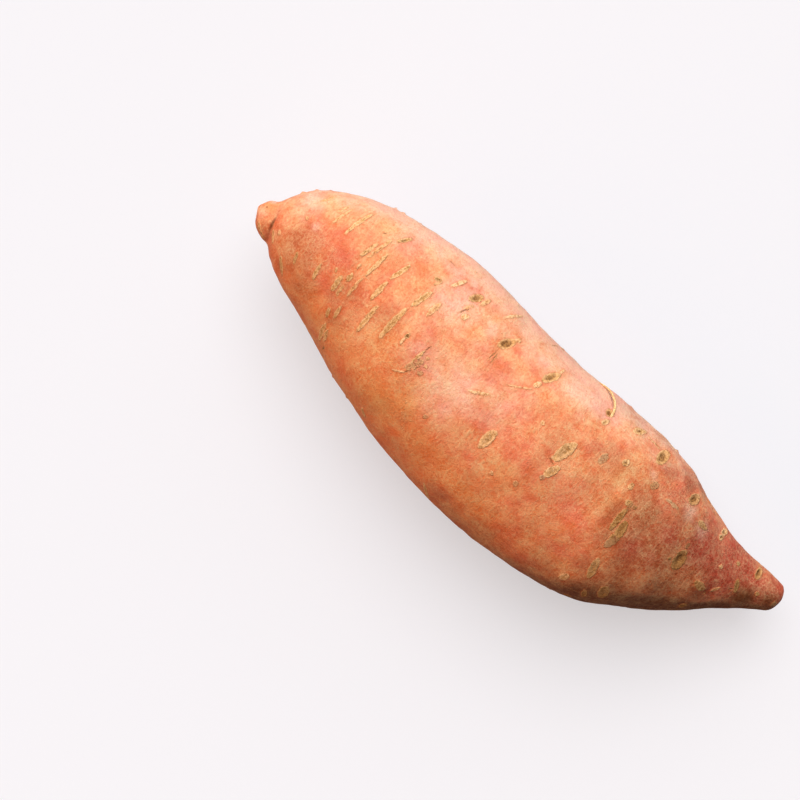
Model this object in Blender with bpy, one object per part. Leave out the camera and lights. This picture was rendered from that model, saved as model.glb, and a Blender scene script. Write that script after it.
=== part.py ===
"""A sweet potato, dug and trimmed, lying on its side: one closed solid.

The root runs along +X, from the stub of its stem to its root tip, and rests
on a small flat spot.  Its skin is a sphere whose rings are laid along the
root: each ring becomes one cross-section, drawn between four edges (front,
back, underside and top) that run smoothly through the stations below.
Lumps, the crease round the stub and the shallow eyes are then pressed in.
"""

import math
import random

import bmesh
import bpy
import numpy as np

MM = 0.001

# Driving dimensions, in millimetres
LENGTH = 200.0
# Each station: distance from the stem end, front edge, back edge, underside, top
STATIONS = (
    (0.0, 2.9, 2.9, 31.0, 31.0),
    (1.0, 0.4, 5.0, 28.6, 33.4),
    (2.0, -1.4, 6.6, 27.3, 34.6),
    (4.0, -3.0, 7.9, 26.1, 35.7),
    (6.0, -3.8, 12.0, 24.4, 37.4),
    (8.0, -4.4, 15.6, 22.4, 39.3),
    (11.0, -6.1, 18.3, 19.8, 41.6),
    (15.0, -8.7, 21.4, 16.6, 43.9),
    (20.0, -11.0, 24.5, 13.2, 46.4),
    (30.0, -14.2, 28.4, 8.4, 49.6),
    (45.0, -20.2, 31.0, 4.3, 52.8),
    (60.0, -25.3, 32.6, 1.4, 55.0),
    (80.0, -29.8, 31.1, -0.3, 56.0),
    (105.0, -32.8, 28.7, -0.6, 56.2),
    (130.0, -31.3, 28.8, 0.9, 54.8),
    (150.0, -26.8, 26.6, 3.0, 51.0),
    (162.0, -20.0, 22.7, 4.8, 45.2),
    (175.0, -10.4, 19.1, 8.0, 36.6),
    (188.0, 0.5, 17.7, 11.8, 28.2),
    (195.0, 5.8, 17.6, 13.4, 24.8),
    (198.5, 8.0, 16.7, 14.7, 22.9),
    (199.6, 9.9, 15.0, 16.4, 21.2),
    (200.0, 12.5, 12.5, 18.8, 18.8),
)
RINGS = 98
SIDES = 56
FULLNESS = 0.015
KEEL_SHIFT = 3.0

# Broad lumps: height, waves along the root, waves round it, starting angle
LUMPS = (
    (0.80, 1.6, 2, 0.4),
    (0.55, 2.7, -3, 1.9),
    (0.35, 4.6, 1, 3.1),
    (0.25, 7.0, -2, 5.0),
)

# The crease between the stub and the shoulder lies in one leaning plane.
CREASE_AT = 6.9
CREASE_LEAN = 0.34
CREASE_WIDTH = 0.9
CREASE_DEPTH = 0.8

# The root tip is snapped off along a small plane.
SNAP_POINT = (199.9, 13.5)
SNAP_TURN = math.radians(31.0)

# Eyes seen from above: distance from the stem end, place across, half width
# along the root, half length round it, depth
EYES = (
    (27.5, -1.5, 2.2, 3.4, 0.30),
    (40.5, -12.0, 2.6, 4.2, 0.45),
    (45.0, 6.0, 2.2, 4.6, 0.35),
    (46.0, 14.5, 2.2, 4.6, 0.35),
    (47.5, -3.0, 2.3, 5.0, 0.40),
    (54.5, 0.5, 2.2, 5.4, 0.35),
    (56.0, 11.5, 2.2, 4.6, 0.45),
    (56.0, 20.5, 2.3, 3.2, 0.50),
    (69.0, -2.5, 3.4, 4.6, 0.45),
    (68.0, 23.0, 2.4, 3.4, 0.70),
    (83.5, 18.0, 2.8, 3.8, 1.10),
    (97.0, -6.5, 2.6, 3.6, 0.40),
    (100.0, 19.0, 2.8, 3.8, 0.55),
    (117.0, 2.5, 3.0, 4.8, 0.40),
    (120.5, 22.5, 2.6, 3.2, 0.75),
    (127.0, 10.5, 2.4, 3.4, 0.35),
    (141.0, 22.5, 2.7, 3.4, 0.85),
    (142.5, -2.5, 2.6, 7.5, 0.55),
    (145.5, -15.0, 2.7, 4.6, 0.45),
    (156.5, 19.0, 2.7, 3.2, 0.95),
    (164.0, 3.0, 3.0, 4.6, 0.85),
    (171.0, 17.0, 2.4, 3.0, 0.55),
    (178.0, 0.5, 2.4, 3.0, 0.65),
    (188.0, 15.5, 2.2, 2.8, 0.50),
)

# Eyes out of sight from above, drawn with a fixed seed
DRAWN_EYES = 24
DRAWN_SEED = 41
DRAWN_ALONG = (22.0, 186.0)
DRAWN_TURN = (math.radians(192.0), math.radians(348.0))
DRAWN_WIDTH = (2.2, 3.0)
DRAWN_LENGTH = (3.2, 5.6)
DRAWN_DEPTH = (0.35, 0.90)
DRAWN_GAP = 15.0
REST_ALONG = (66.0, 132.0)
REST_TURN = (math.radians(238.0), math.radians(302.0))

# An eye's raised rim, as a share of its depth, and where it stands
RIM_SHARE = 0.22
RIM_AT = 1.75
RIM_SPREAD = 0.45

# Skin finish
SKIN_COLOUR = (0.70, 0.25, 0.11, 1.0)
SKIN_ROUGHNESS = 0.5


def clear_scene():
    """Empty the scene without closing the file."""
    for thing in list(bpy.data.objects):
        bpy.data.objects.remove(thing, do_unlink=True)


def latitude(along):
    """The sphere's latitude angle, 0 at the stem end and pi at the tip."""
    return math.acos(1.0 - 2.0 * along / LENGTH)


def smooth_curve(places, values):
    """A curve through all the points whose bend changes evenly between them."""
    steps = np.diff(places)
    rises = np.diff(values) / steps
    count = len(places)
    matrix = np.eye(count)
    bends = np.zeros(count)
    for i in range(1, count - 1):
        matrix[i, i - 1] = steps[i - 1]
        matrix[i, i] = 2.0 * (steps[i - 1] + steps[i])
        matrix[i, i + 1] = steps[i]
        bends[i] = 6.0 * (rises[i] - rises[i - 1])
    bends = np.linalg.solve(matrix, bends)

    def at(place):
        i = int(np.clip(np.searchsorted(places, place) - 1, 0, count - 2))
        step = steps[i]
        left = (place - places[i]) / step
        right = 1.0 - left
        straight = right * values[i] + left * values[i + 1]
        bow = (right ** 3 - right) * bends[i] + (left ** 3 - left) * bends[i + 1]
        return straight + bow * step * step / 6.0

    return at


def edge_curves():
    """The front, back, underside and top edges as functions of latitude."""
    table = np.array(STATIONS)
    places = np.array([latitude(along) for along in table[:, 0]])
    return [smooth_curve(places, table[:, column]) for column in range(1, 5)]


def drawn_eyes():
    """Eyes on the lower half, none of them crowded or on the resting spot."""
    draw = random.Random(DRAWN_SEED)
    eyes = []
    while len(eyes) < DRAWN_EYES:
        along = draw.uniform(*DRAWN_ALONG)
        turn = draw.uniform(*DRAWN_TURN)
        width = draw.uniform(*DRAWN_WIDTH)
        length = draw.uniform(*DRAWN_LENGTH)
        depth = draw.uniform(*DRAWN_DEPTH)
        at_rest = REST_ALONG[0] < along < REST_ALONG[1] and REST_TURN[0] < turn < REST_TURN[1]
        reach = 28.0 * math.sin(latitude(along)) + 4.0
        crowded = any(math.hypot(along - eye[0], (turn - eye[1]) * reach) < DRAWN_GAP for eye in eyes)
        if not at_rest and not crowded:
            eyes.append((along, turn, width, length, depth))
    return eyes


class Root:
    """The root's outside, as points worked out from latitude and turn."""

    def __init__(self):
        self.front, self.back, self.under, self.top = edge_curves()
        self.eyes = [self.eye_from_above(*eye) for eye in EYES] + drawn_eyes()

    def section(self, lat):
        """Middle and half sizes of the cross-section at a latitude."""
        front, back = self.front(lat), self.back(lat)
        under, top = self.under(lat), self.top(lat)
        return (front + back) / 2, (under + top) / 2, (back - front) / 2, (top - under) / 2

    def eye_from_above(self, along, across, width, length, depth):
        """An eye given by its place in plan, with its turn round the root."""
        middle, _, half_width, _ = self.section(latitude(along))
        reach = max(-1.0, min(1.0, (across - middle) / half_width))
        return along, math.acos(reach), width, length, depth

    def lump_height(self, lat, turn):
        """Broad lumps, none at the plan outline or along the keel."""
        along = LENGTH * (1.0 - math.cos(lat)) / 2
        rise = sum(height * math.sin(2 * math.pi * waves * along / LENGTH + rounds * turn + start)
                   for height, waves, rounds, start in LUMPS)
        upper = math.sin(turn) >= 0.0
        hold = math.sin(turn) ** 2 if upper else math.sin(2 * turn) ** 2
        return rise * hold * math.sin(lat)

    def eye_height(self, along, turn, radius):
        """All eyes' dents and rims at one place."""
        rise = 0.0
        for eye_along, eye_turn, width, length, depth in self.eyes:
            swing = (turn - eye_turn + math.pi) % (2 * math.pi) - math.pi
            spread = math.hypot((along - eye_along) / width, swing * radius / length)
            if spread < 4.0:
                rim = RIM_SHARE * math.exp(-((spread - RIM_AT) / RIM_SPREAD) ** 2)
                rise += depth * (rim - math.exp(-spread ** 2))
        return rise

    def crease_height(self, along, across):
        """The crease round the foot of the stub."""
        off = along + CREASE_LEAN * (across - 2.0) - CREASE_AT
        return -CREASE_DEPTH * math.exp(-(off / CREASE_WIDTH) ** 2)

    def point(self, lat, turn):
        """A point of the skin, in millimetres, measured from the stem end."""
        along = LENGTH * (1.0 - math.cos(lat)) / 2
        middle_y, middle_z, half_y, half_z = self.section(lat)
        full = 1.0 + FULLNESS * (1.0 - math.cos(4 * turn)) / 2
        y = middle_y + half_y * full * math.cos(turn)
        z = middle_z + half_z * full * math.sin(turn)
        if math.sin(turn) < 0.0:
            y += KEEL_SHIFT * math.sin(turn) ** 2 * math.sin(lat) ** 2
        radius = (half_y + half_z) / 2
        if radius > 0.0:
            rise = self.lump_height(lat, turn) + self.eye_height(along, turn, radius)
            rise += self.crease_height(along, y)
            out = np.array((half_z * math.cos(turn), half_y * math.sin(turn)))
            out = out / np.linalg.norm(out)
            y += rise * out[0]
            z += rise * out[1]
        return along, y, z


def press_flat(point, origin, normal):
    """Bring a point that lies beyond a plane back onto it."""
    beyond = float(np.dot(point - origin, normal))
    return point - max(beyond, 0.0) * normal


def shape_skin(bm):
    """Lay the sphere's rings along the root, lowest first, and press its flats."""
    root = Root()
    floor = (np.zeros(3), np.array((0.0, 0.0, -1.0)))
    snap_normal = np.array((math.cos(SNAP_TURN), math.sin(SNAP_TURN), 0.0))
    snap = (np.array((*SNAP_POINT, 0.0)), snap_normal)
    for vert in bm.verts:
        lat = math.acos(max(-1.0, min(1.0, -vert.co.z)))
        turn = math.atan2(vert.co.y, vert.co.x)
        point = np.array(root.point(lat, turn))
        point = press_flat(point, *snap)
        point = press_flat(point, *floor)
        vert.co = point * MM


def centre_over_origin(bm):
    """Put the middle of the box's bottom on the origin."""
    for axis in (0, 1):
        places = [vert.co[axis] for vert in bm.verts]
        middle = (min(places) + max(places)) / 2
        for vert in bm.verts:
            vert.co[axis] -= middle


def skin_material():
    """Dry salmon-orange skin."""
    material = bpy.data.materials.new("sweet_potato_skin")
    material.use_nodes = True
    shader = material.node_tree.nodes["Principled BSDF"]
    shader.inputs["Base Color"].default_value = SKIN_COLOUR
    shader.inputs["Roughness"].default_value = SKIN_ROUGHNESS
    shader.inputs["Metallic"].default_value = 0.0
    return material


def make_sweet_potato():
    """The whole root as one object."""
    bm = bmesh.new()
    bmesh.ops.create_uvsphere(bm, u_segments=SIDES, v_segments=RINGS, radius=1.0)
    shape_skin(bm)
    centre_over_origin(bm)
    mesh = bpy.data.meshes.new("sweet_potato")
    bm.to_mesh(mesh)
    bm.free()
    mesh.shade_smooth()
    mesh.materials.append(skin_material())
    potato = bpy.data.objects.new("sweet_potato", mesh)
    bpy.context.scene.collection.objects.link(potato)
    return potato


clear_scene()
make_sweet_potato()
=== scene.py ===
"""The looks of a sweet potato: fine skin with scars, eyes and a hair root, on a pale floor.

The camera looks straight down on the root. Marks that show from there are placed
by the picture's pixels, which a ray from the camera carries down on to the skin.
"""

import math
import random

import bmesh
import bpy
import numpy as np
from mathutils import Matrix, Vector, noise
from mathutils.bvhtree import BVHTree


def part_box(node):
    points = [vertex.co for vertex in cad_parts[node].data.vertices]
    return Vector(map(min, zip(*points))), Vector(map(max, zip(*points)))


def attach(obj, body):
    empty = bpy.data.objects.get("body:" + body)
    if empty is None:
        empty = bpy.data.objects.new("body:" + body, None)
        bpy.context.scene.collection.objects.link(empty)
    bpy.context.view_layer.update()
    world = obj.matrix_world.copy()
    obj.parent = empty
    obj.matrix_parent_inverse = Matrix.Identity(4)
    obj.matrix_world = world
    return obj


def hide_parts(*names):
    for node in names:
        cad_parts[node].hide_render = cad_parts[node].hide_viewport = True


MM = 0.001

# The picture's frame, and the camera over the root
PICTURE = 800
LENS = 100.0
SENSOR = 36.0
CAMERA_HEIGHT = 0.703
CAMERA_TURN = math.radians(40.0)
CAMERA_LEFT = 0.032
CAMERA_UP = 0.008
CAMERA_CLIP = (0.01, 30.0)
RIGHT = Vector((math.cos(CAMERA_TURN), math.sin(CAMERA_TURN), 0.0))
UP = Vector((-math.sin(CAMERA_TURN), math.cos(CAMERA_TURN), 0.0))

# The skin's mesh: its weld, the widest turn inside a quad and its rounds of subdivision
WELD = 0.000001
QUAD_ANGLE = math.radians(60.0)
SKIN_LEVELS = 2
LENGTH = 200.0 * MM

# Half the thickness in millimetres of the slice that a place round the root is looked up in,
# and the height over the floor up to which the relief eases off
SLICE_HALF = 1.6
EASE_HEIGHT = 2.0

# Lumps, ripples, hoops and grain of the skin: waves a metre along the root and across it,
# where the pattern starts, and its height in millimetres
UNEVENNESS = (
    ((75.0, 95.0, 95.0), (0.0, 0.0, 0.0), 0.50),
    ((240.0, 180.0, 180.0), (0.0, 3.0, 0.0), 0.16),
    ((420.0, 90.0, 90.0), (0.0, 0.0, 5.0), 0.08),
    ((520.0, 520.0, 520.0), (0.0, 0.0, 0.0), 0.045),
)

# Styles of mark: dark core, corky patch, paleness, greyness, core's share of the
# size, depth of the core and height of the rim in millimetres
STYLES = {
    "slit": (0.26, 0.93, 0.52, 0.00, 0.62, 0.14, 0.18),
    "faint": (0.08, 0.76, 0.60, 0.00, 0.40, 0.06, 0.12),
    "pit": (0.90, 0.85, 0.25, 0.00, 0.60, 1.00, 0.20),
    "eye": (0.60, 0.92, 0.28, 0.00, 0.55, 0.50, 0.22),
    "patch": (0.34, 0.92, 0.55, 0.08, 0.56, 0.10, 0.14),
    "pale": (0.00, 0.80, 1.00, 0.05, 0.30, 0.00, 0.14),
    "grey": (0.12, 0.78, 0.40, 0.60, 0.50, 0.05, 0.06),
    "olive": (0.10, 0.70, 0.05, 0.35, 0.55, 0.05, 0.06),
    "ring": (0.85, 0.90, 0.85, 0.05, 0.38, 0.45, 0.22),
    "dot": (0.90, 0.35, 0.20, 0.20, 0.60, 0.20, 0.04),
    "sunk": (0.88, 0.88, 0.18, 0.10, 0.48, 0.75, 0.22),
    "trace": (0.00, 0.42, 0.80, 0.00, 0.40, 0.00, 0.05),
    "crease": (0.80, 0.40, 0.15, 0.00, 0.70, 0.20, 0.10),
}

# How far a mark's paint and its relief reach past its edge, and the offset kept where
# there is no mark, in millimetres
MARK_REACH = 4.0
MARK_MARGIN = 2.5
UNMARKED = 60.0

# A mark's relief: how ragged it is, and how wide and how strong its bowl, rim and middle are,
# as shares of the mark
RAGGED_WAVES = 900.0
RAGGED_SHARE = 0.25
LEAST_BOWL = 0.4
RIM_WIDTH = 0.45
RIM_EVEN = 0.7
RIM_RAGGED = 0.6
INSIDE_WIDTH = 0.95
INSIDE_SHARE = 0.4

# Marks of the upper side: both ends in the picture's pixels, width in millimetres, style
MARKS = (
    (397.5, 242.0, 412.2, 239.0, 1.3, "eye"),
    (360.5, 255.5, 377.8, 243.8, 1.1, "slit"),
    (368.2, 256.5, 391.8, 240.6, 0.9, "faint"),
    (365.6, 274.8, 387.3, 255.0, 1.1, "slit"),
    (356.7, 268.2, 360.6, 264.0, 0.7, "faint"),
    (331.6, 290.6, 341.4, 276.3, 1.5, "slit"),
    (346.3, 281.4, 353.0, 273.6, 1.3, "slit"),
    (336.3, 295.2, 343.4, 285.0, 0.8, "faint"),
    (347.0, 295.4, 362.0, 278.0, 0.9, "faint"),
    (370.6, 299.6, 386.8, 282.0, 1.5, "slit"),
    (390.2, 278.8, 410.6, 265.2, 1.4, "slit"),
    (411.4, 306.0, 432.4, 291.6, 1.6, "slit"),
    (379.0, 337.0, 406.2, 308.6, 1.8, "slit"),
    (356.4, 331.6, 377.4, 306.0, 1.5, "slit"),
    (405.4, 337.8, 409.6, 334.6, 1.3, "pit"),
    (399.8, 343.8, 405.2, 338.4, 0.8, "pale"),
    (392.1, 369.7, 403.2, 372.1, 0.5, "pale"),
    (403.2, 372.1, 412.8, 370.3, 0.6, "crease"),
    (412.8, 370.3, 422.1, 365.8, 0.7, "crease"),
    (404.5, 368.6, 423.2, 360.6, 2.3, "olive"),
    (410.6, 364.2, 424.6, 351.0, 1.0, "slit"),
    (424.6, 351.0, 432.4, 345.7, 0.5, "crease"),
    (427.2, 359.6, 428.0, 357.8, 0.8, "faint"),
    (424.8, 367.8, 426.2, 365.2, 0.9, "faint"),
    (417.8, 373.8, 421.8, 372.4, 1.5, "olive"),
    (469.0, 391.2, 489.6, 395.0, 0.7, "pale"),
    (326.6, 317.0, 329.4, 307.4, 1.2, "slit"),
    (333.6, 318.2, 340.8, 306.2, 1.0, "slit"),
    (318.2, 341.2, 324.4, 324.0, 1.6, "slit"),
    (323.0, 341.2, 327.6, 330.0, 1.2, "slit"),
    (321.6, 350.6, 324.0, 346.4, 1.2, "dot"),
    (313.2, 279.4, 320.6, 264.0, 1.1, "slit"),
    (294.0, 263.4, 297.6, 252.6, 0.9, "slit"),
    (280.4, 256.0, 282.4, 274.6, 1.2, "slit"),
    (335.6, 272.2, 336.4, 267.8, 0.6, "slit"),
    (381.2, 233.0, 388.2, 234.4, 0.6, "dot"),
    (345.2, 232.4, 372.2, 213.6, 1.2, "slit"),
    (331.6, 222.4, 351.8, 209.0, 0.8, "faint"),
    (338.6, 211.2, 349.8, 205.8, 0.8, "faint"),
    (305.8, 219.6, 308.2, 217.2, 0.9, "pale"),
    (426.8, 315.4, 441.0, 303.2, 1.4, "faint"),
    (448.7, 260.4, 456.1, 266.9, 0.4, "crease"),
    (475.4, 273.2, 477.0, 273.2, 0.5, "dot"),
    (435.2, 277.6, 441.4, 280.8, 1.2, "pit"),
    (433.8, 284.2, 442.4, 281.6, 0.7, "faint"),
    (451.2, 286.7, 466.8, 281.4, 1.2, "pale"),
    (468.8, 300.2, 483.0, 296.8, 2.4, "eye"),
    (480.2, 305.4, 490.6, 299.8, 1.2, "faint"),
    (463.8, 309.2, 473.2, 306.0, 0.9, "faint"),
    (458.2, 312.8, 471.2, 308.4, 0.5, "crease"),
    (461.0, 318.0, 468.4, 316.4, 1.6, "pale"),
    (497.0, 346.4, 515.6, 341.6, 2.9, "pit"),
    (514.6, 342.0, 520.6, 340.6, 1.4, "faint"),
    (487.8, 360.4, 496.6, 350.6, 0.4, "crease"),
    (489.6, 363.6, 498.0, 352.8, 0.4, "crease"),
    (506.4, 316.8, 522.4, 316.0, 0.8, "pale"),
    (551.4, 345.2, 556.6, 346.3, 0.4, "crease"),
    (541.4, 381.2, 559.6, 375.0, 2.7, "eye"),
    (533.4, 386.8, 541.2, 382.6, 1.3, "pale"),
    (559.8, 374.0, 564.4, 370.0, 0.8, "pale"),
    (509.2, 385.4, 529.8, 389.4, 0.4, "faint"),
    (541.0, 423.4, 544.0, 422.0, 1.1, "pale"),
    (479.2, 447.0, 496.0, 431.2, 3.0, "patch"),
    (552.6, 460.4, 576.4, 443.4, 3.3, "patch"),
    (548.6, 456.2, 554.0, 466.0, 0.5, "crease"),
    (543.8, 475.8, 559.6, 466.8, 2.6, "patch"),
    (541.0, 478.4, 544.2, 475.8, 1.6, "grey"),
    (598.4, 462.8, 607.8, 454.8, 2.1, "grey"),
    (512.6, 483.8, 518.0, 483.2, 1.5, "olive"),
    (489.8, 473.4, 493.0, 472.2, 1.1, "pale"),
    (423.6, 417.4, 427.2, 415.4, 1.2, "olive"),
    (361.6, 408.0, 364.0, 416.8, 1.3, "patch"),
    (404.8, 399.0, 402.6, 432.0, 1.7, "trace"),
    (398.0, 377.0, 399.4, 383.0, 1.2, "trace"),
    (423.6, 483.4, 429.2, 499.4, 1.3, "patch"),
    (606.4, 414.6, 613.0, 411.4, 2.5, "pit"),
    (602.6, 422.6, 610.0, 420.4, 1.3, "patch"),
    (633.6, 431.2, 646.0, 431.4, 2.4, "ring"),
    (649.2, 437.2, 660.6, 449.0, 0.6, "faint"),
    (657.2, 463.0, 668.2, 451.8, 3.4, "eye"),
    (621.8, 464.4, 629.4, 461.2, 1.9, "ring"),
    (627.6, 488.2, 633.8, 484.6, 1.5, "pale"),
    (650.2, 487.6, 658.4, 484.2, 2.2, "olive"),
    (665.6, 498.4, 677.4, 509.0, 1.1, "grey"),
    (677.0, 484.6, 678.8, 484.2, 0.7, "dot"),
    (688.0, 503.0, 698.6, 496.8, 3.1, "sunk"),
    (631.6, 501.8, 625.6, 509.6, 1.2, "olive"),
    (626.4, 504.4, 629.2, 500.6, 1.7, "patch"),
    (632.6, 509.0, 635.0, 505.6, 1.1, "olive"),
    (610.0, 541.6, 616.4, 533.8, 1.9, "patch"),
    (627.4, 508.0, 609.6, 529.6, 1.8, "slit"),
    (626.6, 521.4, 614.6, 539.6, 2.5, "patch"),
    (619.2, 536.6, 604.2, 546.2, 2.4, "grey"),
    (588.0, 578.2, 598.4, 559.0, 2.4, "patch"),
    (559.4, 578.2, 568.8, 575.4, 2.1, "pale"),
    (673.0, 569.4, 684.6, 549.6, 4.2, "sunk"),
    (685.6, 548.4, 688.6, 542.6, 1.3, "olive"),
    (668.2, 558.8, 669.8, 557.2, 0.9, "patch"),
    (720.6, 534.4, 726.8, 530.6, 1.9, "ring"),
    (718.2, 538.8, 722.8, 536.4, 1.6, "ring"),
    (698.4, 521.4, 706.4, 529.2, 1.9, "pale"),
    (736.8, 564.4, 740.0, 563.0, 1.2, "patch"),
    (719.2, 567.8, 721.8, 566.0, 1.2, "pale"),
    (756.2, 578.4, 760.2, 568.2, 2.2, "sunk"),
    (735.2, 593.2, 738.6, 579.8, 1.6, "patch"),
    (728.0, 591.2, 733.6, 588.2, 0.9, "dot"),
    (703.4, 594.0, 705.6, 590.0, 1.3, "dot"),
    (694.6, 581.4, 704.0, 589.4, 2.2, "pale"),
    (710.4, 590.6, 719.8, 588.0, 0.8, "faint"),
    (755.2, 594.8, 758.8, 593.8, 1.1, "patch"),
    (601.4, 597.6, 605.4, 586.4, 3.4, "patch"),
    (583.2, 596.4, 585.2, 590.0, 1.7, "patch"),
    (564.6, 594.2, 571.4, 595.6, 1.7, "patch"),
    (679.4, 607.0, 686.0, 603.2, 1.9, "patch"),
    (772.4, 606.2, 774.8, 602.2, 1.8, "grey"),
    (321.4, 200.8, 334.8, 196.6, 1.0, "faint"),
    (272.9, 229.5, 271.4, 243.5, 1.1, "faint"),
    (279.8, 229.8, 278.4, 234.6, 0.8, "pale"),
    (257.9, 222.0, 260.2, 231.0, 1.0, "faint"),
    (260.2, 231.0, 263.6, 239.0, 0.9, "faint"),
    (265.6, 207.6, 267.4, 206.6, 0.7, "dot"),
)

# The crease round the stub's foot, also painted darker there as shade: a line through places in the
# picture, with its strength at each, its half width in pixels and its depth in millimetres
STUB_CREASE = (
    (280.4, 206.6, 0.10), (276.4, 215.0, 0.32), (273.0, 220.6, 0.60), (270.4, 226.0, 0.72),
    (268.8, 230.4, 0.45), (267.0, 236.4, 0.25), (265.2, 243.0, 0.22),
)
STUB_CREASE_WIDTH = 1.45
STUB_CREASE_DEPTH = 0.45

# Warts along the outline: place in the picture, width and height in millimetres
WARTS = (
    (303.0, 193.0, 1.5, 0.70),
    (317.0, 191.0, 1.6, 0.60),
    (331.0, 190.6, 1.4, 0.30),
    (395.8, 208.8, 1.0, 0.55),
    (403.4, 213.6, 1.0, 0.55),
    (421.0, 224.0, 1.2, 0.30),
    (516.0, 304.6, 1.7, 0.55),
    (556.0, 345.6, 1.2, 0.30),
    (632.0, 406.0, 1.6, 0.30),
    (676.6, 451.8, 1.4, 0.60),
    (684.0, 460.6, 1.2, 0.45),
    (696.0, 481.6, 1.8, 0.55),
    (709.0, 501.4, 1.3, 0.40),
    (716.4, 513.0, 1.2, 0.35),
    (328.6, 380.0, 1.0, 0.30),
    (343.4, 399.0, 1.0, 0.30),
)

# Soft lumps and hollows of the shoulders: place in the picture, radius and height in millimetres
LUMPS = (
    (648, 474, 4.0, 0.45), (674, 476, 3.0, -0.40), (692, 470, 3.5, 0.40), (662, 446, 3.0, -0.25),
    (628, 448, 4.5, 0.35), (604, 420, 3.5, -0.35), (640, 506, 5.0, 0.35), (618, 488, 4.0, -0.30),
    (676, 512, 4.0, 0.30), (690, 590, 5.0, 0.35), (668, 578, 4.0, -0.35), (640, 584, 4.5, 0.30),
)

# Soft spots of each tint: place in the picture, radius in millimetres, strength
ROSE = (
    (318, 242, 8, 0.60), (344, 232, 6, 0.35), (330, 262, 9, 0.50), (420, 342, 7, 0.35),
    (455, 374, 8, 0.25), (484, 412, 7, 0.25), (560, 352, 8, 0.45), (470, 282, 6, 0.40),
    (628, 404, 8, 0.45), (648, 545, 10, 0.80), (636, 530, 7, 0.50), (700, 560, 10, 0.80),
    (728, 548, 9, 0.90), (712, 520, 7, 0.60), (690, 500, 7, 0.60), (560, 500, 9, 0.40),
    (520, 440, 8, 0.35), (660, 520, 8, 0.50),
)
OCHRE = (
    (345, 204, 10, 0.55), (300, 206, 5, 0.40), (392, 226, 7, 0.35), (430, 262, 8, 0.30),
    (604, 368, 6, 0.50), (548, 328, 6, 0.35), (510, 300, 6, 0.40), (650, 430, 5, 0.40),
    (622, 476, 6, 0.50), (500, 476, 8, 0.35), (405, 405, 5, 0.50), (470, 338, 6, 0.30),
    (300, 326, 6, 0.45), (322, 350, 6, 0.40), (455, 420, 6, 0.25), (268, 208, 3, 0.55),
    (378, 404, 9, 0.55), (418, 444, 9, 0.30), (346, 396, 6, 0.50), (618, 506, 6, 0.55),
)
# Soil with painted shade: spots mostly along the lower edge, where the root meets the floor
SOIL_AND_SHADE_SPOTS = (
    (655, 590, 7, 0.40), (612, 590, 6, 0.45), (700, 594, 6, 0.40), (589, 588, 5, 0.40),
    (689, 489, 3, 0.30), (540, 588, 6, 0.50), (742, 600, 6, 0.70), (768, 603, 5, 0.60),
)
# Russet skin, with painted shade on the right shoulder near the tip and along its edges
RUSSET_AND_SHADE_SPOTS = (
    (655, 550, 11, 0.90), (690, 575, 11, 0.90), (622, 572, 9, 0.70), (700, 535, 8, 0.70),
    (745, 585, 9, 0.80), (598, 582, 10, 0.60), (574, 588, 8, 0.50), (772, 597, 6, 0.60),
    (690, 480, 5, 0.50), (642, 514, 8, 0.75), (296, 300, 5, 0.25), (264, 228, 4, 0.42),
    (545, 565, 6, 0.40), (630, 530, 10, 0.85), (612, 508, 8, 0.30), (300, 248, 10, 0.60),
    (304, 282, 8, 0.40), (338, 316, 8, 0.35), (345, 292, 9, 0.38), (386, 322, 9, 0.36),
    (384, 292, 8, 0.25), (636, 418, 8, 0.55), (540, 410, 8, 0.24), (280, 264, 4, 0.40),
    (480, 530, 7, 0.30), (560, 445, 9, 0.25), (316, 342, 5, 0.25), (600, 485, 9, 0.30),
    (440, 495, 7, 0.35), (640, 484, 9, 0.45), (684, 512, 8, 0.50), (612, 462, 8, 0.40),
    (670, 470, 6, 0.45), (664, 440, 6, 0.50), (700, 485, 6, 0.45),
)
BRICK = (
    (735, 573, 9, 1.10), (756, 590, 7, 1.00), (774, 596, 5, 0.80), (688, 482, 4, 0.25),
    (672, 500, 5, 0.40), (705, 548, 8, 0.80), (742, 560, 8, 1.00), (720, 582, 7, 0.90),
    (672, 535, 6, 0.50), (632, 548, 5, 0.40), (268, 234, 3, 0.30), (650, 560, 5, 0.35),
)
# Painted highlights and sheen on the lit upper flank, and a painted highlight streak along a ridge near
# the far outline
HIGHLIGHT_SPOTS = (
    (452, 388, 11, 0.50), (540, 350, 9, 0.45), (505, 322, 9, 0.35), (462, 268, 9, 0.40),
    (582, 390, 10, 0.70), (405, 240, 9, 0.30), (520, 388, 9, 0.25), (458, 304, 11, 0.50),
    (480, 350, 9, 0.25), (572, 391, 2, 1.00), (580, 396, 2, 1.00), (588, 402, 2, 0.80),
    (597, 408, 2, 0.60), (445, 248, 3, 0.60), (474, 283, 3, 0.60), (298, 212, 3, 0.40),
    (262, 212, 3, 0.35), (292, 214, 4, 0.35), (316, 226, 2, 0.40), (492, 328, 4, 0.55),
    (655, 476, 3, 0.35), (548, 358, 8, 0.55), (690, 512, 4, 0.40), (702, 530, 4, 0.40),
    (310, 200, 9, 0.50), (350, 200, 9, 0.50), (385, 212, 9, 0.45), (500, 400, 10, 0.35),
    (425, 362, 9, 0.35),
)

# The band of soil and painted shade along the picture's near edge, the side turned away from the key
# light: the way that it faces, how squarely the skin faces it where the band starts and is full, and
# its strength along the root, whose places are distances from the stem end in millimetres, here and
# below
BAND_TOWARDS = np.array((0.60, -0.80))
BAND_RANGE = (0.58, 0.95)
BAND_ALONG = (10.0, 60.0, 90.0, 124.0, 152.0, 195.0)
BAND_STRENGTH = (0.40, 0.48, 0.66, 0.56, 0.90, 1.05)
LEAST_LEVEL = 0.001

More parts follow.
